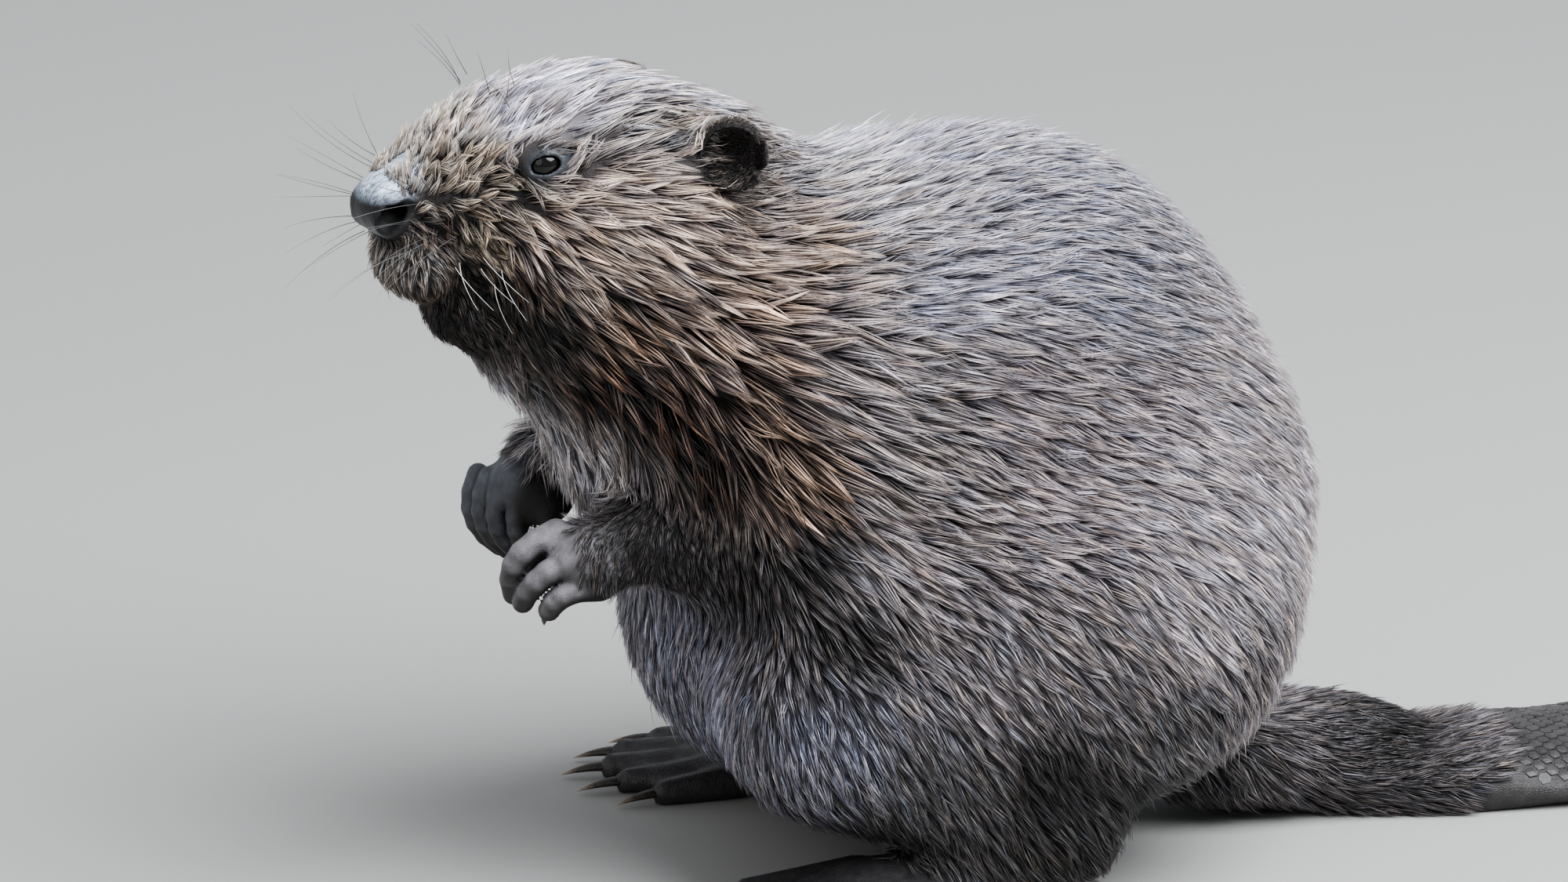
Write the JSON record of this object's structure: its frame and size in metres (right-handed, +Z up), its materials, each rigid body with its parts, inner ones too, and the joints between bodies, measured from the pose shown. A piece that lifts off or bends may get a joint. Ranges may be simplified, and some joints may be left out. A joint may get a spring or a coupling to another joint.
{
  "type": "beaver",
  "caption": "Life-size still model of a beaver sitting hunched on its haunches, forepaws held before the chest, scaly paddle tail laid flat behind.",
  "frame": {"origin": "on the floor, under the middle of the whole animal's box, tail included", "axes": "+X from the nose towards the tail, along the animal's length; +Y to the animal's right; +Z up"},
  "size_m": [0.6546, 0.2884, 0.337],
  "materials": {
    "coat": "wet guard hair over dense underfur, grey-brown",
    "bare_skin": "bare, finely wrinkled skin, slate grey, a little moist",
    "eye": "wet and glossy, near black",
    "claw": "smooth horn, dark brown with a paler edge",
    "tail_scales": "leathery hexagonal scales, dark grey-brown, satin"
  },
  "bodies": {
    "root": {"nose": "bare_skin", "head": "coat", "neck": "coat", "chest": "coat", "belly": "coat", "rump": "coat", "tail_root": "coat", "tail_blade": "tail_scales", "ear_left": "coat", "eye_left": "eye", "upper_arm_left": "coat", "forearm_left": "coat", "hand_left": "bare_skin", "thigh_left": "coat", "foot_left": "bare_skin", "finger_claw_left_1": "claw", "toe_claw_left_1": "claw", "finger_claw_left_2": "claw", "toe_claw_left_2": "claw", "finger_claw_left_3": "claw", "toe_claw_left_3": "claw", "finger_claw_left_4": "claw", "toe_claw_left_4": "claw", "finger_claw_left_5": "claw", "toe_claw_left_5": "claw", "ear_right": "coat", "eye_right": "eye", "upper_arm_right": "coat", "forearm_right": "coat", "hand_right": "bare_skin", "thigh_right": "coat", "foot_right": "bare_skin", "finger_claw_right_1": "claw", "toe_claw_right_1": "claw", "finger_claw_right_2": "claw", "toe_claw_right_2": "claw", "finger_claw_right_3": "claw", "toe_claw_right_3": "claw", "finger_claw_right_4": "claw", "toe_claw_right_4": "claw", "finger_claw_right_5": "claw", "toe_claw_right_5": "claw"}
  },
  "joints": []
}
